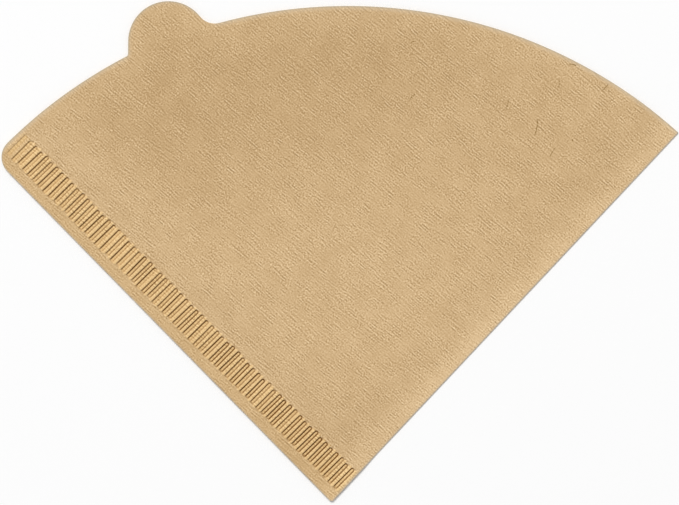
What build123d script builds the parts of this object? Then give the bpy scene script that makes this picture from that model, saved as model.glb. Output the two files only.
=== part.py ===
from build123d import *
import math
import os

# A cone coffee filter: one sheet of paper, folded in two and crimped shut along one side.
# It lies flat, with the point of the cone towards -Y and the mouth towards +Y. The seam is
# on the -X side and the fold on the +X side. The origin is under the middle of its box.
# It is drawn with its point at the origin and its seam along +Y, then turned and moved.
# Lengths are millimetres and angles are degrees.

# Outline of the folded sheet
mouth_radius = 122.0         # arc of the cut mouth, from the tab to the fold
mouth_shift = 3.95           # from the point to the centre of that arc, towards the fold
seam_mouth_radius = 121.65   # arc of the mouth between the seam and the tab
seam_mouth_shift = 2.4       # the centre of that arc lies further from the seam by this
point_angle = 87.6           # between the seam edge and the fold
point_trim = 0.4             # the tip is cut off square by this much
corner_radius = 4.9          # rounded corner between the seam and the mouth
tab_radius = 9.9             # half-round pull tab on the mouth
tab_inset = 0.45             # its centre lies inside the arc of the mouth by this
tab_turn = 20.65             # from the middle of the filter to the tab, towards the seam
tab_flare = 22.0             # the tab's straight side leans out by this, towards the seam
tab_fold_root_radius = 4.5   # hollow corner beside the tab, on the side of the fold
tab_seam_root_radius = 0.5   # hollow corner beside the tab, on the side of the seam

# Paper, and how its two layers lie
ply = 0.2                    # thickness of one layer
pocket_gap = 0.5             # clear height between the layers
parting_run = 6.0            # from the closed seam to where the layers lie flat

# Crimped seam
edge_margin = 2.9            # plain strip between the seam edge and the crimps
inner_margin = 0.6           # plain strip between the crimps and the pocket
crimp_length = 6.6           # across the seam
crimp_width = 1.0            # along the seam
crimp_tip = 0.3              # bulge of its round end, towards the pocket
crimp_depth = 0.35           # pressed down from the front, standing out as much at the back
crimp_pitch = 1.825
crimp_wall = 0.18            # paper round a crimp, seen from above
first_crimp = 1.93           # from the point to the middle of the first crimp
last_crimp_margin = 1.6      # least distance from the middle of the last crimp to the mouth

overrun = 5.0                # cutting shapes reach this far past the sheet

# Sizes that follow from those above
thickness = 2 * ply + pocket_gap
seam_thickness = 2 * ply
seam_floor = crimp_depth
seam_width = edge_margin + crimp_length + inner_margin
parted = seam_width + parting_run
half_angle = point_angle / 2
mouth_centre = Vector(mouth_shift, 0).rotate(Axis.Z, -half_angle)
fold_direction = Vector(0, 1).rotate(Axis.Z, -point_angle)
fold_inward = fold_direction.rotate(Axis.Z, 90)
seam_mouth_centre = mouth_centre + Vector(seam_mouth_shift, 0)
seam_length = seam_mouth_centre.Y + math.sqrt(seam_mouth_radius**2 - seam_mouth_centre.X**2)
tab_angle = tab_turn - half_angle
tab_reach = mouth_radius - tab_inset
reach = mouth_radius + mouth_shift + tab_radius + overrun


def from_mouth_centre(radius, angle):
    # Point round the centre of the mouth's arc, by its angle from the seam's direction.
    return mouth_centre + Vector(0, radius).rotate(Axis.Z, angle)


def round_corner(sketch, place, radius):
    corner = sketch.vertices().sort_by_distance(place)[0]
    return fillet(corner, radius)


def make_tab():
    # Round tab with a straight side towards the seam, and the place where that side meets the mouth.
    middle = from_mouth_centre(tab_reach, tab_angle)
    touch = middle + Vector(0, tab_radius).rotate(Axis.Z, tab_angle + 90 - tab_flare)
    down = Vector(0, 1).rotate(Axis.Z, tab_angle + 180 - tab_flare)
    side = make_face(Polyline(middle, touch, touch + down * tab_radius, close=True))
    start = touch - seam_mouth_centre
    past = start.dot(down)
    drop = -past - math.sqrt(past**2 - start.dot(start) + seam_mouth_radius**2)
    return Pos(middle) * Circle(tab_radius) + side, touch + down * drop


def make_outline():
    # Two mouth arcs that meet under the tab, seam edge, tip and tab. The fold's side is open.
    beside_seam = Rectangle(reach, 2 * reach, align=(Align.MAX, Align.CENTER))
    beside_seam = Pos(mouth_centre) * Rot(0, 0, tab_angle) * beside_seam
    mouth = Pos(mouth_centre) * Circle(mouth_radius) - beside_seam
    mouth += Pos(seam_mouth_centre) * Circle(seam_mouth_radius) & beside_seam
    seam_side = Rectangle(reach, 2 * reach, align=(Align.MIN, Align.CENTER))
    tip = Pos(0, point_trim) * Rectangle(reach, reach, align=(Align.CENTER, Align.MAX))
    tab, seam_root = make_tab()
    outline = (mouth & seam_side) - Rot(0, 0, -half_angle) * tip + tab
    sides = mouth_radius**2 + tab_reach**2 - tab_radius**2
    root_turn = math.degrees(math.acos(sides / (2 * mouth_radius * tab_reach)))
    fold_root = from_mouth_centre(mouth_radius, tab_angle - root_turn)
    outline = round_corner(outline, fold_root, tab_fold_root_radius)
    outline = round_corner(outline, seam_root, tab_seam_root_radius)
    return round_corner(outline, Vector(0, seam_length), corner_radius)


def make_fold_slab(inset):
    # Flat slab whose edge on the fold is a half-round. An inset gives the slab of the pocket.
    start = fold_direction * -overrun
    middle = thickness / 2
    low = (middle, inset)
    high = (middle, thickness - inset)
    bend = ThreePointArc(low, (inset, middle), high)
    flat = Polyline(high, (reach, thickness - inset), (reach, inset), low)
    section = Plane(start, x_dir=fold_inward, z_dir=fold_direction) * make_face(bend + flat)
    return extrude(section, amount=reach + 2 * overrun)


def along_seam(points):
    # Prism along the seam from points across it: distance from the seam edge, then height.
    section = make_face(Polyline(*points, close=True))
    return extrude(Plane.XZ.offset(overrun) * section, amount=-(reach + 2 * overrun))


def make_layers(inset):
    # Both layers with all between them, drawn together towards the seam. With an inset of
    # one ply they meet before the seam, which leaves the pocket alone.
    below = [
        (-overrun, -overrun),
        (-overrun, seam_floor + inset),
        (seam_width, seam_floor + inset),
        (parted, inset),
        (parted, -overrun),
    ]
    seam_top = seam_floor + seam_thickness - inset
    above = [
        (-overrun, thickness + overrun),
        (-overrun, seam_top),
        (seam_width, seam_top),
        (parted, thickness - inset),
        (parted, thickness + overrun),
    ]
    return make_fold_slab(inset) - [along_seam(below), along_seam(above)]


def make_crimp(wall, top):
    # One crimp below a height, square towards the seam edge and round towards the pocket.
    half = crimp_width / 2 + wall
    bend = crimp_length - crimp_tip
    tip = ThreePointArc((bend, half), (crimp_length + wall, 0), (bend, -half))
    sides = Polyline((bend, -half), (-wall, -half), (-wall, half), (bend, half))
    outline = Plane.XY.offset(top) * make_face(tip + sides)
    return extrude(outline, amount=-crimp_depth)


def repeat_crimps(crimp):
    room = seam_length - last_crimp_margin - first_crimp
    count = int(room / crimp_pitch) + 1
    return [Pos(edge_margin, first_crimp + index * crimp_pitch) * crimp for index in range(count)]


def make_filter():
    outline = Plane.XY.offset(-overrun) * make_outline()
    sheet = make_layers(0) & extrude(outline, amount=thickness + 2 * overrun)
    sheet -= make_layers(ply)
    sheet += repeat_crimps(make_crimp(crimp_wall, seam_floor))
    sheet -= repeat_crimps(make_crimp(0, seam_floor + seam_thickness))
    turned = Rot(0, 0, half_angle) * sheet
    box = turned.bounding_box()
    return Pos(-box.center().X, -box.center().Y, -box.min.Z) * turned


os.makedirs("parts", exist_ok=True)
export_step(make_filter(), "parts/filter_paper.step")
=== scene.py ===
import math
import bmesh
import bpy
from mathutils import Matrix, Vector
from mathutils.geometry import delaunay_2d_cdt


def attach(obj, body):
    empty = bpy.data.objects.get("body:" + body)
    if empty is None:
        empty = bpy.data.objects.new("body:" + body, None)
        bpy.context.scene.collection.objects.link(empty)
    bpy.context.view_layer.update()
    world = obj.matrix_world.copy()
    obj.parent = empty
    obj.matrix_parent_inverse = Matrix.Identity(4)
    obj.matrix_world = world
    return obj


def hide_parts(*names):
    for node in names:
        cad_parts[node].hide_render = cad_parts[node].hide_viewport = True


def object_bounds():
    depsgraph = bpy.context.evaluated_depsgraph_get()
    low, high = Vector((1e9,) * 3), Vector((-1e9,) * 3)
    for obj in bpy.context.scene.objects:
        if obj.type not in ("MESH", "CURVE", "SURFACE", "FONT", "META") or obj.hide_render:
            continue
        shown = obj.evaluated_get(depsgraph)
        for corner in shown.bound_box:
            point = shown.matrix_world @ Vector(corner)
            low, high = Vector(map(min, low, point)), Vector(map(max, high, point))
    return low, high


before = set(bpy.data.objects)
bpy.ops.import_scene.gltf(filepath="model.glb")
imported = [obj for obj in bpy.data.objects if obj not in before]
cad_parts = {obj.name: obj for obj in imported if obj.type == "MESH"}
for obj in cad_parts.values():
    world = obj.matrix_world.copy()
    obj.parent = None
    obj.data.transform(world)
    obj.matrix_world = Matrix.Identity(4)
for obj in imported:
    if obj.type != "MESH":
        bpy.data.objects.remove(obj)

cadLow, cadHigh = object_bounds()
print("frame: box in metres", [round(side, 5) for side in cadHigh - cadLow])

# the folded sheet, in metres and degrees: u runs in from the seam edge, v along the seam from the point
cutSheet = {
    "mouthRadius": 0.122,        # arc of the cut mouth, from the tab to the fold
    "mouthShift": 0.00395,       # centre of that arc from the point, towards the fold
    "seamMouthRadius": 0.12165,  # arc of the mouth between seam and tab
    "seamMouthShift": 0.0024,    # the centre of that arc lies further from the seam
    "pointAngle": 87.6,          # between seam edge and fold
    "pointTrim": 0.0004,         # the tip is blunt by this much
    "cornerRadius": 0.0049,      # seam to mouth
    "tabRadius": 0.0099,
    "tabInset": 0.00045,         # its centre lies inside the arc of the mouth
    "tabTurn": 20.65,            # from the middle of the filter, towards the seam
    "tabFlare": 22,              # the tab's straight side leans out, towards the seam
    "tabFoldRoot": 0.0045,       # hollow corners beside the tab
    "tabSeamRoot": 0.0005,
    "ply": 0.0002,
    "pocketGap": 0.0005,
    "partingRun": 0.006,         # the layers part over this width beside the seam
    "foldStretch": 1.8,          # the fold is rounded this much deeper than high
    "foldPinch": 0.2,            # share of the pocket's height that is left at the fold
    "foldPinchRun": 0.014,       # over this width
    "foldSteps": 10,             # faces round the fold
    "hairline": 0.00005,         # dent between the layers along the seam edge
    "edgeStep": 0.0009,          # spacing of points along the cut
    "gridStep": 0.0016,          # spacing of points on the flat of the sheet
    "slack": 0.00016,            # how far the front layer sags in places
    "slackSize": 0.03,
    "slackDetail": 1.0,
    "slackLow": 0.3,             # from none to all of it between these values of the noise
    "slackHigh": 0.7,
    "slackStart": 0.02,          # none beside the seam and the fold, all of it this far in
}
tiny = 1e-7                      # metres, nearer than this is the same place

# the crimps pressed across both layers along the seam
seamCrimps = {
    "pitch": 0.00182,
    "first": 0.0021,             # middle of the first one from the point
    "lastMargin": 0.0016,        # least distance from the last one to the mouth
    "edgeMargin": 0.0029,
    "innerMargin": 0.0006,
    "length": 0.0066,
    "width": 0.00098,
    "depth": 0.00035,
    "floorLift": 0.35,           # share by which the floor stands above the line round it
    "floorRise": 0.0002,
    "wall": 0.0002,              # width of a sloping wall
    "creaseWidth": 0.00028,      # painted shade, a dark line at the foot of the wall
    "creaseEdge": 0.7,           # shares of that width where it starts and where it is full
    "creaseCore": 0.3,
    "strongSide": 1.2,           # how strongly the painted shade marks the wall towards the mouth
    "strongLess": 0.52,          # and how much less in the crimps near the mouth
    "strongChange": 0.2,
    "weakSide": 1.0,             # the same for the wall towards the point
    "weakLess": 0.65,
    "weakChange": 0.4,
    "lastFaint": 0.4,            # share of the depth that the last one has
    "lastSpan": 2.0,             # crimps over which it falls to that
    "innerRound": 0.00045,
    "outerRound": 0.0002,
    "fadeRun": 0.0006,           # shallower towards the seam edge
    "fadeLeast": 0.5,
    "ribHeight": 0.00013,        # the paper between two crimps stands up
    "ribLonger": 0.00025,
    "ribRound": 0.0004,
    "shift": 0.00007,            # unevenness from crimp to crimp
    "slant": 0.018,
    "lengthChange": 0.00026,
    "depthChange": 0.2,
    "seed": 11,
    # points of the mesh beside a crimp's middle, about its outer end and about its inner end
    "columns": (0.00013, 0.00024, 0.00032, 0.00039, 0.00046, 0.00053, 0.0006, 0.00074),
    "outerRows": (-0.0006, -0.0003, -0.00012, 0.00006, 0.00025, 0.0006),
    "innerRows": (-0.001, -0.0007, -0.00045, -0.00028, -0.00012, 0.00004, 0.0002, 0.0004),
    "middleRows": 4,
}


def toward(angle):
    return Vector((math.cos(angle), math.sin(angle)))


def angleOf(vector):
    return math.atan2(vector.y, vector.x)


def smooth(share):
    share = min(max(share, 0), 1)
    return share * share * (3 - 2 * share)


mouthRadius, seamMouthRadius = cutSheet["mouthRadius"], cutSheet["seamMouthRadius"]
tabRadius, tabReach = cutSheet["tabRadius"], mouthRadius - cutSheet["tabInset"]
halfAngle = math.radians(cutSheet["pointAngle"]) / 2
mouthCentre = toward(-halfAngle) * cutSheet["mouthShift"]
foldAngle = math.pi / 2 - 2 * halfAngle
foldAlong, foldInward = toward(foldAngle), toward(foldAngle + math.pi / 2)
tabAngle = math.pi / 2 + math.radians(cutSheet["tabTurn"]) - halfAngle
tabCentre = mouthCentre + toward(tabAngle) * tabReach
seamWidth = seamCrimps["edgeMargin"] + seamCrimps["length"] + seamCrimps["innerMargin"]
seamMouthCentre = mouthCentre + Vector((cutSheet["seamMouthShift"], 0))
seamLength = seamMouthCentre.y + math.sqrt(seamMouthRadius**2 - seamMouthCentre.x**2)
crimpRoom = seamLength - seamCrimps["lastMargin"] - seamCrimps["first"]
lastCrimp = int(crimpRoom / seamCrimps["pitch"])


def layerHeights(u, fromFold):
    # back of the sheet, both sides of the pocket, front of the sheet
    ply, part = cutSheet["ply"], smooth((u - seamWidth) / cutSheet["partingRun"])
    low, pinch = seamCrimps["depth"] * (1 - part), cutSheet["foldPinch"]
    opened = pinch + (1 - pinch) * smooth(fromFold / cutSheet["foldPinchRun"])
    top = low + 2 * ply + cutSheet["pocketGap"] * part * opened
    return low, low + ply, top - ply, top


def foldReach(u):
    low, _, _, top = layerHeights(u, 0)
    return (top - low) / 2 * cutSheet["foldStretch"]


def arcPoints(centre, radius, start, stop):
    count = max(2, math.ceil(abs(stop - start) * radius / cutSheet["edgeStep"]))
    return [centre + toward(start + (stop - start) * i / count) * radius for i in range(count + 1)]


def linePoints(start, stop, step):
    count = max(1, math.ceil((stop - start).length / step))
    return [start.lerp(stop, i / count) for i in range(count + 1)]


def foldRootArc():
    # hollow corner between the tab and the mouth, on the side of the fold
    radius = cutSheet["tabFoldRoot"]
    reach, tabSpan = mouthRadius + radius, tabRadius + radius
    turn = math.acos((reach**2 + tabReach**2 - tabSpan**2) / (2 * reach * tabReach))
    centre = mouthCentre + toward(tabAngle - turn) * reach
    start, stop = angleOf(tabCentre - centre), angleOf(mouthCentre - centre)
    stop = start + math.remainder(stop - start, 2 * math.pi)
    return arcPoints(centre, radius, start, stop), angleOf(centre - tabCentre), tabAngle - turn


def seamRootArc():
    # hollow corner between the mouth and the tab's straight side, on the side of the seam
    radius = cutSheet["tabSeamRoot"]
    sideAngle = tabAngle + math.pi / 2 - math.radians(cutSheet["tabFlare"])
    outward = toward(sideAngle)
    depth = (tabCentre - seamMouthCentre).dot(outward) + tabRadius + radius
    height = math.sqrt((seamMouthRadius + radius)**2 - depth**2)
    centre = seamMouthCentre + outward * depth + toward(sideAngle - math.pi / 2) * height
    start, stop = angleOf(seamMouthCentre - centre), sideAngle + math.pi
    stop = start + math.remainder(stop - start, 2 * math.pi)
    return arcPoints(centre, radius, start, stop), angleOf(centre - seamMouthCentre), sideAngle


def cutLine():
    # the cut edge of the sheet, from the tip up the seam and round the mouth to the fold
    cornerRadius = cutSheet["cornerRadius"]
    cornerHeight = math.sqrt((seamMouthRadius - cornerRadius)**2 - (cornerRadius - seamMouthCentre.x)**2)
    cornerCentre = Vector((cornerRadius, seamMouthCentre.y + cornerHeight))
    cornerAngle = angleOf(cornerCentre - seamMouthCentre)
    closeAngle = math.acos((seamWidth - seamMouthCentre.x) / seamMouthRadius)
    seamRoot, seamRootAngle, tabStart = seamRootArc()
    foldRoot, tabStop, foldRootAngle = foldRootArc()
    endAngle = math.asin((foldReach(mouthRadius) - mouthCentre.dot(foldInward)) / mouthRadius)
    tip = cutSheet["pointTrim"] / math.cos(halfAngle)
    tipOnFold = foldAlong * (tip - foldReach(0) * math.tan(halfAngle)) + foldInward * foldReach(0)
    runs = [
        [tipOnFold],
        linePoints(Vector((0, tip)), Vector((0, cornerCentre.y)), cutSheet["edgeStep"]),
        arcPoints(cornerCentre, cornerRadius, math.pi, cornerAngle),
        arcPoints(seamMouthCentre, seamMouthRadius, cornerAngle, closeAngle),
        arcPoints(seamMouthCentre, seamMouthRadius, closeAngle, seamRootAngle),
        seamRoot,
        linePoints(seamRoot[-1], tabCentre + toward(tabStart) * tabRadius, cutSheet["edgeStep"]),
        arcPoints(tabCentre, tabRadius, tabStart, tabStop),
        foldRoot,
        arcPoints(mouthCentre, mouthRadius, foldRootAngle, foldAngle + endAngle),
    ]
    points = []
    for run in runs:
        points += run if not points or (run[0] - points[-1]).length > tiny else run[1:]
    return points


def foldLine(start, stop):
    # where the flat of the sheet meets the fold, from the mouth back to the tip, ends left out
    closing = (seamWidth - foldReach(0) * foldInward.x) / foldAlong.x
    first, last = start.dot(foldAlong), stop.dot(foldAlong)
    count = math.ceil((first - closing) / cutSheet["gridStep"])
    alongs = [first + (closing - first) * i / count for i in range(1, count + 1)]
    count = math.ceil((closing - last) / cutSheet["edgeStep"])
    alongs += [closing + (last - closing) * i / count for i in range(1, count)]
    points = []
    for along in alongs:
        reach = foldReach(along * foldAlong.x)
        points.append(foldAlong * along + foldInward * reach)
    return points


def insideBy(point):
    # rough distance in from the cut edge and the fold
    besideSeam = (point - mouthCentre).dot(toward(tabAngle + math.pi / 2)) > 0
    inMouth = mouthRadius - (point - mouthCentre).length
    if besideSeam:
        inMouth = seamMouthRadius - (point - seamMouthCentre).length
    inTab = tabRadius - (point - tabCentre).length
    inFold = point.dot(foldInward) - foldReach(point.x)
    inTip = point.dot(toward(math.pi / 2 - halfAngle)) - cutSheet["pointTrim"]
    return min(max(inMouth, inTab), inFold, point.x, inTip)


def innerPoints():
    # rows and columns over the crimps, two rows on the margin, an even grid on the rest
    crimp, step, points = seamCrimps, cutSheet["gridStep"], []
    outer, inner = crimp["edgeMargin"], crimp["edgeMargin"] + crimp["length"]
    rows = [outer + row for row in crimp["outerRows"]] + [inner + row for row in crimp["innerRows"]]
    first, last = outer + crimp["outerRows"][-1], inner + crimp["innerRows"][0]
    parts = crimp["middleRows"] + 1
    rows += [first + (last - first) * i / parts for i in range(1, parts)]
    columns = [0, crimp["pitch"] / 2] + [side * column for column in crimp["columns"] for side in (-1, 1)]
    for index in range(-1, lastCrimp + 2):
        middle = crimp["first"] + index * crimp["pitch"]
        points += [Vector((row, middle + column)) for row in rows for column in columns]
    for row in (outer / 3, outer * 2 / 3):
        points += [Vector((row, step * (i + row / outer))) for i in range(int(seamLength / step))]
    reach, wide = mouthRadius + tabRadius, step * math.sqrt(3) / 2
    for i in range(1, int(reach / wide)):
        for j in range(int(reach / step)):
            points.append(Vector((seamWidth + i * wide, (j + i % 2 / 2) * step)))
    nearest = {True: cutSheet["edgeStep"] / 3, False: step / 2}
    return [point for point in points if insideBy(point) > nearest[point.x < seamWidth]]


millimetres = 1000               # they suit the limits of the triangulation
insideOnly, mergeWithin = 1, 1e-5


def triangulate():
    cut = cutLine()
    fold = foldLine(cut[-1], cut[0])
    loop = cut + fold
    onClosing = [i for i, point in enumerate(loop) if abs(point.x - seamWidth) < tiny]
    closing = linePoints(loop[onClosing[0]], loop[onClosing[1]], cutSheet["edgeStep"])[1:-1]
    points = loop + closing + innerPoints()
    edges = [(i, (i + 1) % len(loop)) for i in range(len(loop))]
    chain = [onClosing[0], *range(len(loop), len(loop) + len(closing)), onClosing[1]]
    edges += list(zip(chain[:-1], chain[1:]))
    scaled = [point * millimetres for point in points]
    flat, _, faces, origin, _, _ = delaunay_2d_cdt(scaled, edges, [], insideOnly, mergeWithin)
    home = {first: i for i, found in enumerate(origin) for first in found}
    cutIds = [home[i] for i in range(len(cut))]
    foldIds = [home[i] for i in range(len(cut) - 1, len(loop))] + [home[0]]
    return [point / millimetres for point in flat], faces, cutIds, foldIds


def foldRing(point, index, centre, high, reach, ends):
    # half-round section of the fold, from the front layer to the back one
    ring = []
    for k in range(1, cutSheet["foldSteps"]):
        turn = math.pi / 2 - math.pi * k / cutSheet["foldSteps"]
        depth = point.dot(foldInward) - reach * math.cos(turn)
        along = point.dot(foldAlong)
        if index == ends[0]:    # trimmed by the mouth
            along = mouthCentre.dot(foldAlong)
            along += math.sqrt(mouthRadius**2 - (depth - mouthCentre.dot(foldInward))**2)
        if index == ends[1]:    # trimmed by the blunt tip
            along = (cutSheet["pointTrim"] - depth * math.sin(halfAngle)) / math.cos(halfAngle)
        place = foldAlong * along + foldInward * depth
        ring.append((place, centre + high * math.sin(turn)))
    return ring


def buildSheet():
    flat, faces, cutIds, foldIds = triangulate()
    mesh = bmesh.new()
    uLayer = mesh.verts.layers.float.new("fromSeam")
    vLayer = mesh.verts.layers.float.new("alongSeam")
    looseLayer = mesh.verts.layers.float.new("looseness")
    edgeLayer = mesh.faces.layers.int.new("cutEdge")

    def addVertex(point, height, loose=0):
        vertex = mesh.verts.new((point.x, point.y, height))
        vertex[uLayer], vertex[vLayer], vertex[looseLayer] = point.x, point.y, loose
        return vertex

    def addFace(corners, edge=0):
        unique = [v for i, v in enumerate(corners) if v not in corners[:i]]
        if len(unique) > 2:
            mesh.faces.new(unique)[edgeLayer] = edge

    back, pocketLow, pocketTop, front = {}, {}, {}, {}
    cutSet = set(cutIds)
    for i in {corner for face in faces for corner in face}:
        point = flat[i]
        low, inLow, inTop, top = layerHeights(point.x, point.dot(foldInward) - foldReach(point.x))
        loose = smooth((point.x - seamWidth) / cutSheet["slackStart"])
        loose *= smooth(point.dot(foldInward) / cutSheet["slackStart"])
        back[i], front[i] = addVertex(point, low), addVertex(point, top, loose)
        if abs(point.x - seamWidth) < tiny:
            pocketLow[i] = pocketTop[i] = addVertex(point, inLow)
        elif point.x > seamWidth:
            pocketLow[i], pocketTop[i] = addVertex(point, inLow), addVertex(point, inTop, loose)
        elif i in cutSet:
            inward = Vector((cutSheet["hairline"], 0)) if i != cutIds[0] else Vector((0, 0))
            pocketLow[i] = pocketTop[i] = addVertex(point + inward, inLow)
    for face in faces:
        addFace([front[i] for i in face])
        addFace([back[i] for i in reversed(face)])
        if min(flat[i].x for i in face) > seamWidth - tiny:
            addFace([pocketTop[i] for i in reversed(face)])
            addFace([pocketLow[i] for i in face])
    for i, j in zip(cutIds[:-1], cutIds[1:]):
        addFace([front[i], front[j], pocketTop[j], pocketTop[i]], 1)
        addFace([pocketLow[i], pocketLow[j], back[j], back[i]], 1)

    outerRings, innerRings = [], []
    ends = (foldIds[0], foldIds[-1])
    for i in foldIds:
        low, inLow, inTop, top = layerHeights(flat[i].x, 0)
        centre, reach = (top + low) / 2, foldReach(flat[i].x)
        ring = foldRing(flat[i], i, centre, (top - low) / 2, reach, ends)
        outerRings.append([front[i], *[addVertex(*spot) for spot in ring], back[i]])
        if flat[i].x > seamWidth + tiny:
            opened = (inTop - inLow) / (cutSheet["pocketGap"] * cutSheet["foldPinch"])
            inside = (reach - cutSheet["ply"]) * opened
            ring = foldRing(flat[i], i, centre, (inTop - inLow) / 2, inside, ends)
            innerRings.append([pocketTop[i], *[addVertex(*spot) for spot in ring], pocketLow[i]])
        elif i in pocketTop:
            innerRings.append([pocketTop[i]] * (cutSheet["foldSteps"] + 1))
    steps = range(cutSheet["foldSteps"])
    for one, two in zip(outerRings[:-1], outerRings[1:]):
        for k in steps:
            addFace([one[k], two[k], two[k + 1], one[k + 1]])
    opened = [ring for ring in innerRings if ring[0] is not pocketTop[cutIds[0]]]
    for one, two in zip(opened[:-1], opened[1:]):
        for k in steps:
            addFace([one[k + 1], two[k + 1], two[k], one[k]])
    for k in steps:
        addFace([outerRings[0][k], outerRings[0][k + 1], opened[0][k + 1], opened[0][k]], 1)
        addFace([outerRings[-1][k + 1], outerRings[-1][k], pocketTop[cutIds[0]]], 1)
    return mesh


sheetMesh = buildSheet()
openEdges = [edge for edge in sheetMesh.edges if len(edge.link_faces) != 2]
print("sheet:", len(sheetMesh.faces), "faces,", len(openEdges), "open edges")


def placeSheet(mesh):
    # turned so that the point looks towards -Y, then moved into the box of the frame
    bmesh.ops.rotate(mesh, verts=mesh.verts, matrix=Matrix.Rotation(halfAngle, 3, "Z"))
    acrossBox = [vertex.co.x for vertex in mesh.verts]
    highest = max(vertex.co.y for vertex in mesh.verts)
    middle = (min(acrossBox) + max(acrossBox)) / 2
    move = Vector(((cadLow.x + cadHigh.x) / 2 - middle, cadHigh.y - highest, cadLow.z))
    bmesh.ops.translate(mesh, verts=mesh.verts, vec=move)
    return move


pointPlace = placeSheet(sheetMesh)
seamDirection = toward(halfAngle + math.pi / 2).to_3d()
fromSeamEdge, fromFoldEdge = toward(halfAngle).to_3d(), toward(math.pi - halfAngle).to_3d()
acrossTab = toward(tabAngle + halfAngle + math.pi / 2).to_3d()
downTab = toward(tabAngle + halfAngle + math.pi - math.radians(cutSheet["tabFlare"])).to_3d()


def inPart(point):
    # from the sheet's own u and v to the frame
    turned = point.to_3d()
    turned.rotate(Matrix.Rotation(halfAngle, 3, "Z"))
    return turned + pointPlace


# where the photograph's pixels lie on the sheet
photoFrame = {
    "size": (679, 505),
    "pixel": 0.00024582,         # metres on the sheet
    "point": (331.57, 502.4),    # the tip's pixel before it is blunted
    "roll": 0.6,                 # degrees, the filter leans to the left
    "lens": 85,
    "clipStart": 0.01,
}


def atPixel(x, y):
    offset = Vector((x - photoFrame["point"][0], photoFrame["point"][1] - y, 0)) * photoFrame["pixel"]
    offset.rotate(Matrix.Rotation(-math.radians(photoFrame["roll"]), 3, "Z"))
    return Vector((pointPlace.x + offset.x, pointPlace.y + offset.y, 0))


def feed(tree, socket, value):
    if isinstance(value, bpy.types.NodeSocket):
        tree.links.new(value, socket)
    else:
        socket.default_value = value


def addNode(tree, kind, inputs=None, **settings):
    node = tree.nodes.new(kind)
    for name, value in settings.items():
        setattr(node, name, value)
    for name, value in (inputs or {}).items():
        feed(tree, node.inputs[name], value)
    return node


def calc(tree, operation, *values):
    node = addNode(tree, "ShaderNodeMath", operation=operation)
    for socket, value in zip(node.inputs, values):
        feed(tree, socket, value)
    return node.outputs[0]


def times(tree, one, two):
    return calc(tree, "MULTIPLY", one, two)


def plus(tree, one, two):
    return calc(tree, "ADD", one, two)


def minus(tree, one, two):
    return calc(tree, "SUBTRACT", one, two)


def timesPlus(tree, one, two, three):
    return calc(tree, "MULTIPLY_ADD", one, two, three)


def vectorCalc(tree, operation, *values):
    node = addNode(tree, "ShaderNodeVectorMath", operation=operation)
    for socket, value in zip(node.inputs, values):
        feed(tree, socket, value)
    return node.outputs["Value" if operation in ("DOT_PRODUCT", "LENGTH", "DISTANCE") else "Vector"]


def scaleBy(tree, vector, factor):
    node = addNode(tree, "ShaderNodeVectorMath", {0: vector, "Scale": factor}, operation="SCALE")
    return node.outputs["Vector"]


def ease(tree, value, start, stop, low=0.0, high=1.0):
    inputs = {"Value": value, "From Min": start, "From Max": stop, "To Min": low, "To Max": high}
    node = addNode(tree, "ShaderNodeMapRange", inputs, interpolation_type="SMOOTHSTEP")
    return node.outputs["Result"]


def newTree(kind, name, inputs, outputs):
    tree = bpy.data.node_groups.new(name, kind)
    for direction, sockets in (("INPUT", inputs), ("OUTPUT", outputs)):
        for label, socketType in sockets.items():
            tree.interface.new_socket(label, in_out=direction, socket_type="NodeSocket" + socketType)
    return tree, tree.nodes.new("NodeGroupInput").outputs, tree.nodes.new("NodeGroupOutput").inputs


def roundedMeet(tree, one, two, radius):
    # distance in from two edges that meet in a round corner
    overs = [calc(tree, "MAXIMUM", minus(tree, radius, edge), 0) for edge in (one, two)]
    corner = addNode(tree, "ShaderNodeCombineXYZ", {"X": overs[0], "Y": overs[1]}).outputs[0]
    deepest = calc(tree, "MAXIMUM", calc(tree, "MINIMUM", one, two), radius)
    return minus(tree, deepest, vectorCalc(tree, "LENGTH", corner))


crimpSizes = ("pitch", "first", "edgeMargin", "length", "width", "depth", "floorLift", "floorRise",
              "ribHeight", "ribLonger", "ribRound", "wall", "innerRound", "outerRound", "fadeRun",
              "fadeLeast", "shift", "slant", "lengthChange", "depthChange", "strongSide", "strongLess",
              "strongChange", "weakSide", "weakLess", "weakChange", "creaseWidth", "creaseEdge",
              "creaseCore", "lastFaint", "lastSpan")
sheetSizes = ("slack", "slackSize", "slackDetail", "slackLow", "slackHigh")


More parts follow.
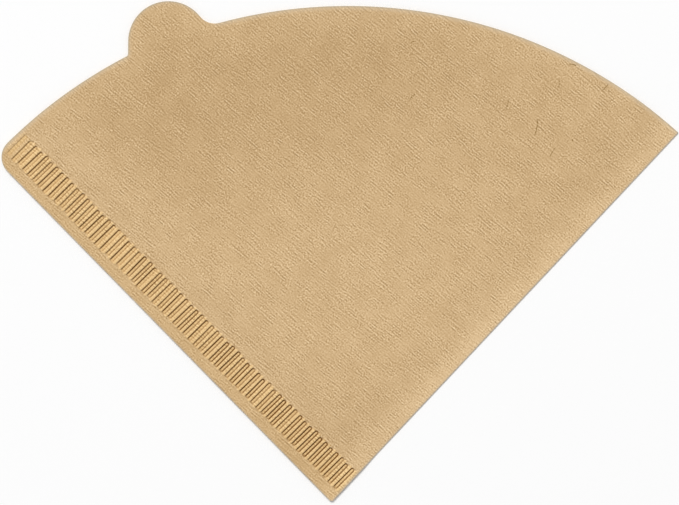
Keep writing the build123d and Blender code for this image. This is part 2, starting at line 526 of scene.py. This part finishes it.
def makeCrimpTree():
    inputs = {"Sheet": "Geometry", **{name: "Float" for name in crimpSizes + sheetSizes},
              "last": "Float", "seed": "Int", "seamDirection": "Vector", "paper": "Material",
              "cutPaper": "Material"}
    tree, given, result = newTree("GeometryNodeTree", "pressedCrimps", inputs, {"Sheet": "Geometry"})

    def named(name, kind="FLOAT"):
        return addNode(tree, "GeometryNodeInputNamedAttribute", {"Name": name}, data_type=kind).outputs[0]

    def draw(offset):
        seed = plus(tree, given["seed"], offset)
        inputs = {"ID": index, "Seed": seed}
        node = addNode(tree, "FunctionNodeRandomValue", inputs, data_type="FLOAT")
        node.inputs[2].default_value, node.inputs[3].default_value = -1, 1      # the float sockets
        return node.outputs[1]

    along = minus(tree, named("alongSeam"), given["first"])
    across = named("fromSeam")
    index = calc(tree, "ROUND", calc(tree, "DIVIDE", along, given["pitch"]))
    index = calc(tree, "MINIMUM", calc(tree, "MAXIMUM", index, 0), given["last"])
    side = minus(tree, along, times(tree, index, given["pitch"]))
    beside = calc(tree, "ABSOLUTE", side)

    # the groove of one crimp, with a deeper line round its floor
    outer = timesPlus(tree, draw(0), given["lengthChange"], given["edgeMargin"])
    inner = timesPlus(tree, draw(1), given["lengthChange"], given["edgeMargin"])
    inner = plus(tree, inner, given["length"])
    half = times(tree, minus(tree, inner, outer), 0.5)
    fromMiddle = minus(tree, across, plus(tree, outer, half))
    atInner = calc(tree, "GREATER_THAN", fromMiddle, 0)
    roundChange = minus(tree, given["innerRound"], given["outerRound"])
    radius = timesPlus(tree, atInner, roundChange, given["outerRound"])
    halfWidth = times(tree, given["width"], 0.5)
    halfWall = times(tree, given["wall"], 0.5)
    distance = calc(tree, "ABSOLUTE", fromMiddle)
    inSide, inEnd = minus(tree, halfWidth, beside), minus(tree, half, distance)
    inside = roundedMeet(tree, inSide, inEnd, radius)
    wallTop = times(tree, halfWall, -1)
    groove = ease(tree, inside, wallTop, halfWall)
    floor = ease(tree, inside, halfWall, plus(tree, halfWall, given["floorRise"]))
    fade = ease(tree, minus(tree, across, outer), 0.0, given["fadeRun"], given["fadeLeast"])
    toLast = minus(tree, given["last"], index)
    lastFade = ease(tree, toLast, 0.0, given["lastSpan"], given["lastFaint"])
    fade = times(tree, fade, lastFade)
    shallower = times(tree, plus(tree, draw(2), 1), given["depthChange"])
    depth = times(tree, given["depth"], minus(tree, 1, shallower))
    lifted = times(tree, floor, given["floorLift"])
    pressed = times(tree, minus(tree, groove, lifted), fade)
    pressed = times(tree, pressed, depth)

    # the rib between two grooves
    halfPitch = times(tree, given["pitch"], 0.5)
    ribBeside = calc(tree, "ABSOLUTE", minus(tree, halfPitch, beside))
    halfLength = times(tree, given["length"], 0.5)
    ribMiddle = plus(tree, given["edgeMargin"], halfLength)
    ribDistance = calc(tree, "ABSOLUTE", minus(tree, across, ribMiddle))
    ribSide = minus(tree, minus(tree, halfPitch, halfWidth), ribBeside)
    ribEnd = minus(tree, plus(tree, halfLength, given["ribLonger"]), ribDistance)
    rib = roundedMeet(tree, ribSide, ribEnd, given["ribRound"])
    rib = times(tree, ease(tree, rib, wallTop, given["wall"]), lastFade)
    raised = times(tree, rib, given["ribHeight"])

    # crimps stand a little off their places and out of square
    nearSide = ease(tree, beside, halfPitch, plus(tree, halfWidth, halfWall))
    nearEnd = ease(tree, minus(tree, distance, half), given["width"], 0.0)
    turned = times(tree, times(tree, draw(3), given["slant"]), fromMiddle)
    aside = timesPlus(tree, draw(4), given["shift"], turned)
    aside = times(tree, times(tree, aside, nearSide), nearEnd)

    # the front layer lies a little slack
    place = addNode(tree, "GeometryNodeInputPosition").outputs[0]
    spot = scaleBy(tree, place, calc(tree, "DIVIDE", 1, given["slackSize"]))
    inputs = {"Vector": spot, "Scale": 1.0, "Detail": given["slackDetail"]}
    wave = addNode(tree, "ShaderNodeTexNoise", inputs).outputs[0]
    sag = times(tree, ease(tree, wave, given["slackLow"], given["slackHigh"]), given["slack"])
    sag = times(tree, sag, named("looseness"))
    height = minus(tree, minus(tree, raised, pressed), sag)
    up = addNode(tree, "ShaderNodeCombineXYZ", {"Z": height}).outputs[0]
    offset = vectorCalc(tree, "ADD", up, scaleBy(tree, given["seamDirection"], aside))

    # the dark lines of painted shade, stronger on one side and near the point
    away = calc(tree, "DIVIDE", index, given["last"])
    weak = timesPlus(tree, draw(5), given["weakChange"], given["weakSide"])
    weak = minus(tree, weak, times(tree, away, given["weakLess"]))
    strong = timesPlus(tree, draw(6), given["strongChange"], given["strongSide"])
    strong = minus(tree, strong, times(tree, away, given["strongLess"]))
    sharp = ease(tree, side, wallTop, halfWall, weak, strong)
    fromLine = calc(tree, "ABSOLUTE", minus(tree, inside, halfWall))
    lineEdge = times(tree, given["creaseWidth"], given["creaseEdge"])
    lineCore = times(tree, given["creaseWidth"], given["creaseCore"])
    shadedCrease = times(tree, ease(tree, fromLine, lineEdge, lineCore), fade)
    shadedCrease = times(tree, shadedCrease, sharp)

    sheet = given["Sheet"]
    for name, value in (("crease", shadedCrease), ("groove", groove), ("rib", rib)):
        inputs = {"Geometry": sheet, "Name": name, "Value": value}
        stored = addNode(tree, "GeometryNodeStoreNamedAttribute", inputs, data_type="FLOAT", domain="POINT")
        sheet = stored.outputs[0]
    moved = addNode(tree, "GeometryNodeSetPosition", {"Geometry": sheet, "Offset": offset}).outputs[0]
    realized = addNode(tree, "GeometryNodeRealizeInstances", {"Geometry": moved}).outputs[0]
    inputs = {"Geometry": realized, "Material": given["paper"]}
    faced = addNode(tree, "GeometryNodeSetMaterial", inputs).outputs[0]
    inputs = {"Geometry": faced, "Selection": named("cutEdge", "INT"), "Material": given["cutPaper"]}
    feed(tree, result["Sheet"], addNode(tree, "GeometryNodeSetMaterial", inputs).outputs[0])
    return tree


# unbleached paper: colours are linear, lengths in metres
brownPaper = {
    "dark": (0.456, 0.291, 0.133, 1),
    "middle": (0.615, 0.422, 0.22, 1),
    "light": (0.777, 0.562, 0.323, 1),
    "bright": (0.93, 0.70, 0.42, 1),
    # painted shade in the crimps' creases
    "creaseShadeColour": (0.18, 0.065, 0.001, 1),
    "pressedWarm": (1.05, 1.0, 0.84, 1),     # paper in the crimps and their ribs is tinted by this
    "rimColour": (0.74, 0.60, 0.42, 1),
    # painted shade along the cut
    "cutShadeColour": (0.47, 0.40, 0.285, 1),
    "fibreColour": (0.2, 0.1, 0.005, 1),
    "roughness": 0.9,
    "specular": 0.2,
    "creaseShadeDark": 0.95,
    # painted light: the crimps' grooves and ribs are paler
    "grooveLight": 0.3,
    "ribHighlight": 0.42,
    "lineAngle": 138.8,          # degrees, direction of the crepe lines
    "lineSpacing": 0.0007,
    "lineCount": 1.3,            # lines in one cluster of strokes
    "lineStretch": 2.3,          # how much longer a cluster is than wide
    "lineHeight": 0.00007,
    "lineTone": 0.77,
    "patchSize": 0.0034,         # smooth patches between the strokes
    "marginCalm": 0.8,           # weaker strokes on the strip along the seam edge
    "marginTone": -0.05,
    "marginWarm": 0.25,
    "speckSize": 0.00067,
    "speckHeight": 0.00005,
    "speckTone": 1.82,
    "cloudSize": 0.006,
    "cloudTone": 0.65,
    "plainTone": 0.09,           # how much paler than middle the whole sheet is
    "mouthShade": 0.24,          # painted shade, darker inside the mouth
    "mouthShadeStart": 0.012,
    "mouthShadeStop": 0.066,
    "edgeShadeStop": 0.012,      # less at the very edge
    "edgeShadeShare": 0.35,
    "seamShadeStart": 0.014,     # not beside the seam
    "seamShadeStop": 0.031,
    "foldShadeStart": 0.03,      # and less beside the fold
    "foldShadeStop": 0.07,
    "foldShadeShare": 0.4,
    "pointShade": 0.08,          # painted shade, darker again towards the point
    "pointShadeStart": 0.078,
    "pointShadeStop": 0.108,
    "tabLight": 0.03,             # painted light, a little paler on the tab
    "foldBand": 0.008,           # painted light, a paler strip along the fold
    "foldLight": 0.26,
    "foldRim": 0.0006,           # painted highlight, palest at its edge
    "foldRimLight": 0.7,
    "rimBand": 0.0014,           # paler rim along the mouth
    "rimPale": 0.6,
    "cutLine": 0.0006,           # painted shade, a thin darker line at the cut itself
    "cutShadeDark": 0.5,
    "tabRim": 0.4,               # share of the pale rim that the tab has
    "tabCutShadeDark": 0.75,
    "edgeColour": (0.70, 0.55, 0.36, 1),
    "edgeShare": 0.6,            # of that colour on the cut edge, more and less with the specks
}

# dark fibres in the pulp, from one pixel to another, with how far they bow and how dark they are
strayFibres = [
    ((537.7, 119.0), (534.9, 135.0), 0.7, 0.73),
    ((549.9, 156.7), (555.3, 147.8), 0.3, 0.63),
    ((510.0, 98.0), (506.0, 110.0), -0.4, 0.54),
    ((559.5, 79.5), (559.0, 88.0), 0.2, 0.45),
    ((569.3, 64.0), (576.3, 65.5), 0.4, 0.80),
    ((602.5, 90.0), (608.0, 84.6), -0.3, 0.76),
    ((572.2, 139.2), (572.9, 141.0), 0.0, 1.00),
    ((411.0, 43.0), (414.0, 41.2), 0.2, 0.56),
    ((410.0, 99.0), (415.0, 94.0), 0.3, 0.56),
    ((579.3, 214.4), (579.8, 215.8), 0.0, 0.63),
]
fibreWidth = 0.00022
fibreEnds = (1.15, 0.85)         # shares of half its length between which it ends
fibreUneven = 1.5                # paler and darker along its length with the specks of the pulp

# clusters of crepe lines, stronger and weaker from patch to patch
crepeClusters = {
    "anisotropy": 0.86,
    "patchDetail": 2.0,
    "patchLow": 0.32,            # from weakest to strongest between these values of the noise
    "patchHigh": 0.58,
    "weakest": 0.5,
    "strongest": 1.1,
}


def makeCrepeGroup():
    inputs = {"Vector": "Vector", "Line Angle": "Float", "Spacing": "Float", "Count": "Float",
              "Stretch": "Float", "Patch Size": "Float"}
    outputs = {"Height": "Float", "Strength": "Float"}
    tree, given, result = newTree("ShaderNodeTree", "crepeLines", inputs, outputs)
    cluster = times(tree, given["Spacing"], given["Count"])
    scale = calc(tree, "DIVIDE", 1, cluster)
    back = times(tree, given["Line Angle"], -1)
    inputs = {"Vector": given["Vector"], "Angle": back}
    turned = addNode(tree, "ShaderNodeVectorRotate", inputs, rotation_type="Z_AXIS").outputs[0]
    shorter = calc(tree, "DIVIDE", 1, given["Stretch"])
    shape = addNode(tree, "ShaderNodeCombineXYZ", {"X": shorter, "Y": 1.0}).outputs[0]
    drawn = vectorCalc(tree, "MULTIPLY", turned, shape)      # strokes longer than wide
    inputs = {"Vector": drawn, "Scale": scale, "Frequency": given["Count"],
              "Anisotropy": crepeClusters["anisotropy"]}
    lines = addNode(tree, "ShaderNodeTexGabor", inputs, gabor_type="2D")
    lines.inputs[4].default_value = math.pi / 2              # orientation in the plane
    coarse = calc(tree, "DIVIDE", 1, given["Patch Size"])
    inputs = {"Vector": given["Vector"], "Scale": coarse, "Detail": crepeClusters["patchDetail"]}
    patch = addNode(tree, "ShaderNodeTexNoise", inputs).outputs[0]
    strength = ease(tree, patch, crepeClusters["patchLow"], crepeClusters["patchHigh"],
                    crepeClusters["weakest"], crepeClusters["strongest"])
    feed(tree, result["Height"], timesPlus(tree, lines.outputs["Value"], 2, -1))
    feed(tree, result["Strength"], strength)
    return tree


# round specks and broad clouds
pulpNoise = {
    "speckCells": 0.85,          # size of a speck in cells of the noise
    "cloudDetail": 4.0,
    "cloudRoughness": 0.85,
}


def makePulpGroup():
    inputs = {"Vector": "Vector", "Speck Size": "Float", "Cloud Size": "Float"}
    tree, given, result = newTree("ShaderNodeTree", "pulp", inputs, {"Speck": "Float", "Cloud": "Float"})
    scale = calc(tree, "DIVIDE", pulpNoise["speckCells"], given["Speck Size"])
    inputs = {"Vector": given["Vector"], "Scale": scale, "Frequency": 1 / pulpNoise["speckCells"],
              "Anisotropy": 0.0}
    specks = addNode(tree, "ShaderNodeTexGabor", inputs, gabor_type="2D").outputs["Value"]
    scale = calc(tree, "DIVIDE", 1, given["Cloud Size"])
    inputs = {"Vector": given["Vector"], "Scale": scale, "Detail": pulpNoise["cloudDetail"],
              "Roughness": pulpNoise["cloudRoughness"]}
    clouds = addNode(tree, "ShaderNodeTexNoise", inputs).outputs[0]
    for name, value in (("Speck", specks), ("Cloud", clouds)):
        feed(tree, result[name], minus(tree, value, 0.5))
    return tree


def makeEdgeGroup():
    # how far a point is from the edges of the sheet, with the roots of the tab and the corner round
    outputs = {name: "Float" for name in ("From Fold", "From Mouth", "From Seam", "From Cut", "Past Mouth")}
    tree, given, result = newTree("ShaderNodeTree", "sheetEdges", {"Vector": "Vector"}, outputs)
    flat = vectorCalc(tree, "MULTIPLY", given["Vector"], (1, 1, 0))
    fromPoint = vectorCalc(tree, "SUBTRACT", flat, pointPlace)
    fromFold = vectorCalc(tree, "DOT_PRODUCT", fromPoint, fromFoldEdge)
    fromSeam = vectorCalc(tree, "DOT_PRODUCT", fromPoint, fromSeamEdge)

    def outsideArc(centre, radius):
        return minus(tree, vectorCalc(tree, "DISTANCE", flat, inPart(centre)), radius)

    def choose(share, one, two):
        return timesPlus(tree, share, minus(tree, two, one), one)

    fromMiddle = vectorCalc(tree, "SUBTRACT", flat, inPart(mouthCentre))
    besideSeam = calc(tree, "GREATER_THAN", vectorCalc(tree, "DOT_PRODUCT", fromMiddle, acrossTab), 0)
    outMouth = choose(besideSeam, outsideArc(mouthCentre, mouthRadius),
                      outsideArc(seamMouthCentre, seamMouthRadius))
    fromTab = vectorCalc(tree, "SUBTRACT", flat, inPart(tabCentre))
    down = calc(tree, "MAXIMUM", vectorCalc(tree, "DOT_PRODUCT", fromTab, downTab), 0)
    fromTab = vectorCalc(tree, "SUBTRACT", fromTab, scaleBy(tree, downTab, down))
    outTab = minus(tree, vectorCalc(tree, "LENGTH", fromTab), tabRadius)
    root = timesPlus(tree, besideSeam, cutSheet["tabSeamRoot"] - cutSheet["tabFoldRoot"],
                     cutSheet["tabFoldRoot"])
    fromMouth = times(tree, roundedMeet(tree, outMouth, outTab, root), -1)
    fromCut = roundedMeet(tree, fromMouth, fromSeam, cutSheet["cornerRadius"])
    distances = {"From Fold": fromFold, "From Mouth": fromMouth, "From Seam": fromSeam,
                 "From Cut": fromCut, "Past Mouth": outMouth}
    for name, distance in distances.items():
        feed(tree, result[name], distance)
    return tree


def makeFibreGroup():
    inputs = {"Vector": "Vector", "Middle": "Vector", "Along": "Vector", "Across": "Vector",
              "Half Length": "Float", "Bow": "Float", "Width": "Float"}
    tree, given, result = newTree("ShaderNodeTree", "strayFibre", inputs, {"Mask": "Float"})
    fromMiddle = vectorCalc(tree, "SUBTRACT", given["Vector"], given["Middle"])
    along = vectorCalc(tree, "DOT_PRODUCT", fromMiddle, given["Along"])
    across = vectorCalc(tree, "DOT_PRODUCT", fromMiddle, given["Across"])
    share = calc(tree, "ABSOLUTE", calc(tree, "DIVIDE", along, given["Half Length"]))
    bow = times(tree, minus(tree, 1, calc(tree, "POWER", share, 2)), given["Bow"])
    aside = calc(tree, "ABSOLUTE", minus(tree, across, bow))
    line = ease(tree, aside, given["Width"], 0.0)
    ends = ease(tree, share, *fibreEnds)
    feed(tree, result["Mask"], times(tree, line, ends))
    return tree


def addGroup(tree, group, **inputs):
    node = addNode(tree, "ShaderNodeGroup", node_tree=group)
    for name, value in inputs.items():
        label = "".join(" " + letter if letter.isupper() else letter for letter in name).title()
        feed(tree, node.inputs[label], value)
    return node.outputs


def mixColour(tree, share, one, two, blend="MIX"):
    node = addNode(tree, "ShaderNodeMix", data_type="RGBA", blend_type=blend)
    for place, value in ((0, share), (6, one), (7, two)):    # the colour sockets
        feed(tree, node.inputs[place], value)
    return node.outputs[2]


def newMaterial(name, roughness, specular):
    material = bpy.data.materials.new(name)
    material.use_nodes = True
    shader = material.node_tree.nodes["Principled BSDF"]
    shader.inputs["Roughness"].default_value = roughness
    shader.inputs["Specular IOR Level"].default_value = specular
    return material, material.node_tree, shader


def addRelief(tree, shader, relief):
    bump = addNode(tree, "ShaderNodeBump", {"Height": relief, "Strength": 1.0, "Distance": 1.0})
    feed(tree, shader.inputs["Normal"], bump.outputs[0])


crepeGroup, pulpGroup = makeCrepeGroup(), makePulpGroup()
edgeGroup, fibreGroup = makeEdgeGroup(), makeFibreGroup()
toneStops = {"middle": 0.5, "light": 1.0, "bright": 1.5}     # the dark colour stands at 0


def paperTone(tree, spot, finish, calm, lift):
    # colour and relief of the pulp and its crepe lines, calmed and made paler in places
    lines = addGroup(tree, crepeGroup, vector=spot, lineAngle=math.radians(finish["lineAngle"]),
                     spacing=finish["lineSpacing"], count=finish["lineCount"],
                     stretch=finish["lineStretch"], patchSize=finish["patchSize"])
    pulp = addGroup(tree, pulpGroup, vector=spot, speckSize=finish["speckSize"],
                    cloudSize=finish["cloudSize"])
    strength = times(tree, lines["Strength"], calm)
    line = times(tree, lines["Height"], strength)
    speck = times(tree, pulp["Speck"], strength)
    tone = plus(tree, lift, toneStops["middle"])
    tone = timesPlus(tree, line, finish["lineTone"], tone)
    tone = timesPlus(tree, speck, finish["speckTone"], tone)
    tone = timesPlus(tree, pulp["Cloud"], finish["cloudTone"], tone)
    ramp = addNode(tree, "ShaderNodeValToRGB", {"Fac": calc(tree, "DIVIDE", tone, toneStops["bright"])})
    stops = ramp.color_ramp.elements
    stops.remove(stops[1])
    stops[0].color = finish["dark"]
    for name, place in toneStops.items():
        stops.new(place / toneStops["bright"]).color = finish[name]
    relief = times(tree, line, finish["lineHeight"])
    relief = timesPlus(tree, speck, finish["speckHeight"], relief)
    return ramp.outputs[0], relief, pulp


def paintedShades(tree, edges, finish):
    # painted shade: how much darker the paper is made inside the mouth and towards the point
    offSeam = ease(tree, edges["From Seam"], finish["seamShadeStart"], finish["seamShadeStop"])
    offFold = ease(tree, edges["From Fold"], finish["foldShadeStart"], finish["foldShadeStop"],
                   finish["foldShadeShare"], 1.0)
    offMouth = ease(tree, edges["From Mouth"], 0.0, finish["edgeShadeStop"],
                    finish["edgeShadeShare"] * finish["mouthShade"], finish["mouthShade"])
    deepest = times(tree, times(tree, offSeam, offFold), offMouth)
    mouthShade = ease(tree, edges["From Mouth"], finish["mouthShadeStop"], finish["mouthShadeStart"],
                      0.0, deepest)
    pointShade = ease(tree, edges["From Mouth"], finish["pointShadeStart"], finish["pointShadeStop"],
                      0.0, finish["pointShade"])
    return mouthShade, pointShade


def addFibres(tree, spot, speck, colour, finish):
    # on the front of the sheet alone
    height = addNode(tree, "ShaderNodeSeparateXYZ", {0: spot}).outputs[2]
    front = calc(tree, "GREATER_THAN", height, cutSheet["ply"] * 2)
    uneven = timesPlus(tree, speck, -fibreUneven, 1.0)
    shownFront = times(tree, front, uneven)
    for start, stop, bow, strength in strayFibres:
        first, last = atPixel(*start), atPixel(*stop)
        alongFibre = (last - first).normalized()
        acrossFibre = Vector((-alongFibre.y, alongFibre.x, 0))
        mask = addGroup(tree, fibreGroup, vector=spot, middle=(first + last) / 2, along=alongFibre,
                        across=acrossFibre, halfLength=(last - first).length / 2,
                        bow=bow * photoFrame["pixel"], width=fibreWidth)["Mask"]
        shown = times(tree, times(tree, mask, strength), shownFront)
        colour = mixColour(tree, shown, colour, finish["fibreColour"])
    return colour


def makeBrownPaper(finish):
    material, tree, shader = newMaterial("brownPaper", finish["roughness"], finish["specular"])
    spot = addNode(tree, "ShaderNodeTexCoord").outputs["Object"]
    edges = addGroup(tree, edgeGroup, vector=spot)
    margin = seamCrimps["edgeMargin"]
    calm = ease(tree, edges["From Seam"], margin, margin * 2, finish["marginCalm"], 1.0)
    onMargin = ease(tree, edges["From Seam"], margin * 2, margin)
    crease, groove, rib = [addNode(tree, "ShaderNodeAttribute", attribute_name=name).outputs["Fac"]
                           for name in ("crease", "groove", "rib")]
    onTab = ease(tree, edges["Past Mouth"], -finish["rimBand"], finish["rimBand"])
    # painted light along the fold
    lift = ease(tree, edges["From Fold"], finish["foldBand"], 0.0, 0.0, finish["foldLight"])
    lift = plus(tree, lift, finish["plainTone"])
    # painted light on the tab
    lift = timesPlus(tree, onTab, finish["tabLight"], lift)
    # painted shade inside the mouth and towards the point
    for shade in paintedShades(tree, edges, finish):
        lift = minus(tree, lift, shade)
    # own tone on the strip by the seam, painted light in the grooves and on the ribs
    for mask, name in ((onMargin, "marginTone"), (groove, "grooveLight"), (rib, "ribHighlight")):
        lift = timesPlus(tree, mask, finish[name], lift)
    colour, relief, pulp = paperTone(tree, spot, finish, calm, lift)
    warmth = calc(tree, "MAXIMUM", groove, rib)
    warmth = calc(tree, "MAXIMUM", warmth, times(tree, onMargin, finish["marginWarm"]))
    colour = mixColour(tree, warmth, colour, finish["pressedWarm"], "MULTIPLY")
    ragged = timesPlus(tree, pulp["Speck"], finish["rimBand"], edges["From Mouth"])
    rim = timesPlus(tree, onTab, finish["rimPale"] * (finish["tabRim"] - 1), finish["rimPale"])
    nearMouth = ease(tree, ragged, finish["rimBand"], 0.0, 0.0, rim)
    colour = mixColour(tree, nearMouth, colour, finish["rimColour"])
    # painted highlight at the fold's edge
    foldHighlight = ease(tree, edges["From Fold"], finish["foldRim"], 0.0, 0.0, finish["foldRimLight"])
    colour = mixColour(tree, foldHighlight, colour, finish["rimColour"])
    # painted shade along the cut, stronger on the tab
    cutShadeStrength = timesPlus(tree, onTab, finish["tabCutShadeDark"] - finish["cutShadeDark"],
                         finish["cutShadeDark"])
    cutShade = ease(tree, edges["From Cut"], finish["cutLine"], 0.0, 0.0, cutShadeStrength)
    colour = mixColour(tree, cutShade, colour, finish["cutShadeColour"])
    # painted shade in the crimps' creases
    shadedCrease = times(tree, crease, finish["creaseShadeDark"])
    colour = mixColour(tree, shadedCrease, colour, finish["creaseShadeColour"])
    colour = addFibres(tree, spot, pulp["Speck"], colour, finish)
    feed(tree, shader.inputs["Base Color"], colour)
    addRelief(tree, shader, relief)
    return material


def makeCutPaper(finish):
    material, tree, shader = newMaterial("cutPaperEdge", finish["roughness"], finish["specular"])
    spot = addNode(tree, "ShaderNodeTexCoord").outputs["Object"]
    colour, relief, pulp = paperTone(tree, spot, finish, 1.0, 0.0)
    share = plus(tree, pulp["Speck"], finish["edgeShare"])
    feed(tree, shader.inputs["Base Color"], mixColour(tree, share, colour, finish["edgeColour"]))
    addRelief(tree, shader, relief)
    return material


paperMaterial, cutMaterial = makeBrownPaper(brownPaper), makeCutPaper(brownPaper)
print("finish: brown paper and its cut edge")


def finishSheet(mesh):
    edgeLayer = mesh.faces.layers.int["cutEdge"]
    for face in mesh.faces:
        face.smooth = not face[edgeLayer]
    for edge in mesh.edges:
        edge.smooth = len({face[edgeLayer] for face in edge.link_faces}) == 1
    data = bpy.data.meshes.new("foldedFilter")
    mesh.to_mesh(data)
    mesh.free()
    piece = bpy.data.objects.new("foldedFilter", data)
    bpy.context.scene.collection.objects.link(piece)
    tree = makeCrimpTree()
    press = piece.modifiers.new("pressedCrimps", "NODES")
    press.node_group = tree
    inputs = [item for item in tree.interface.items_tree if item.in_out == "INPUT"]
    socketOf = {item.name: item.identifier for item in inputs}
    for name in crimpSizes + ("seed",):
        press[socketOf[name]] = seamCrimps[name]
    for name in sheetSizes:
        press[socketOf[name]] = cutSheet[name]
    press[socketOf["last"]] = float(lastCrimp)
    press[socketOf["seamDirection"]] = tuple(seamDirection)
    press[socketOf["paper"]], press[socketOf["cutPaper"]] = paperMaterial, cutMaterial
    graph = bpy.context.evaluated_depsgraph_get()
    pressed = bpy.data.meshes.new_from_object(piece.evaluated_get(graph))
    piece.modifiers.remove(press)
    piece.data = pressed
    bpy.data.meshes.remove(data)
    for name in ("fromSeam", "alongSeam", "looseness", "cutEdge"):
        pressed.attributes.remove(pressed.attributes[name])
    pressed.name = "foldedFilter"
    return piece


foldedFilter = finishSheet(sheetMesh)
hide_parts("filter_paper")
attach(foldedFilter, "root")
print("crimps:", lastCrimp + 1, "pressed,", len(foldedFilter.data.polygons), "faces")

studio = {
    "floorSize": 3.0,
    "floorColour": (0.99, 0.99, 0.99, 1),
    "floorRoughness": 0.9,
    "floorSpecular": 0.1,
    "floorDrop": 0.00002,        # just below the filter
    "fill": 0.45,                # soft light from all round
    "keyTurn": 112,              # degrees, from the mouth side and a little from the left
    "keyRise": 50,
    "keyDistance": 8.0,
    "keySize": 2.7,
    "keyShare": 0.56,            # of a plain white level
}


def makeStudio():
    material, _, shader = newMaterial("paleFloor", studio["floorRoughness"], studio["floorSpecular"])
    shader.inputs["Base Color"].default_value = studio["floorColour"]
    mesh = bmesh.new()
    bmesh.ops.create_grid(mesh, x_segments=2, y_segments=2, size=studio["floorSize"] / 2)
    data = bpy.data.meshes.new("floor")
    mesh.to_mesh(data)
    mesh.free()
    data.materials.append(material)
    floor = bpy.data.objects.new("floor", data)
    floor.location.z = cadLow.z - studio["floorDrop"]
    bpy.context.scene.collection.objects.link(floor)

    turn, rise = math.radians(studio["keyTurn"]), math.radians(studio["keyRise"])
    lamp = bpy.data.lights.new("softKey", "AREA")
    lamp.size = studio["keySize"]
    lamp.energy = studio["keyShare"] * (math.pi * studio["keyDistance"])**2 / math.sin(rise)
    key = bpy.data.objects.new("softKey", lamp)
    key.location = Vector((math.cos(turn) * math.cos(rise), math.sin(turn) * math.cos(rise),
                           math.sin(rise))) * studio["keyDistance"]
    key.rotation_euler = (-key.location).to_track_quat("-Z", "Y").to_euler()
    bpy.context.scene.collection.objects.link(key)

    world = bpy.data.worlds.new("studioFill")
    bpy.context.scene.world = world
    world.use_nodes = True
    background = world.node_tree.nodes["Background"]
    background.inputs["Color"].default_value = (1, 1, 1, 1)
    rays = addNode(world.node_tree, "ShaderNodeLightPath").outputs
    seen = calc(world.node_tree, "MAXIMUM", rays["Is Camera Ray"], rays["Is Glossy Ray"])
    seen = calc(world.node_tree, "MAXIMUM", seen, rays["Is Transmission Ray"])
    strength = calc(world.node_tree, "MULTIPLY_ADD", seen, 1 - studio["fill"], studio["fill"])
    feed(world.node_tree, background.inputs["Strength"], strength)


def makeCamera():
    wide, high = photoFrame["size"]
    middle = atPixel(wide / 2, high / 2)
    data = bpy.data.cameras.new("fromAbove")
    data.lens = photoFrame["lens"]
    data.clip_start = photoFrame["clipStart"]
    camera = bpy.data.objects.new("fromAbove", data)
    distance = wide * photoFrame["pixel"] * data.lens / data.sensor_width
    camera.location = (middle.x, middle.y, cadHigh.z + distance)
    camera.rotation_euler = (0, 0, -math.radians(photoFrame["roll"]))
    bpy.context.scene.collection.objects.link(camera)
    bpy.context.scene.camera = camera


makeStudio()
makeCamera()
bpy.context.scene.view_settings.view_transform = "Standard"
print("studio: floor, key, fill and camera")
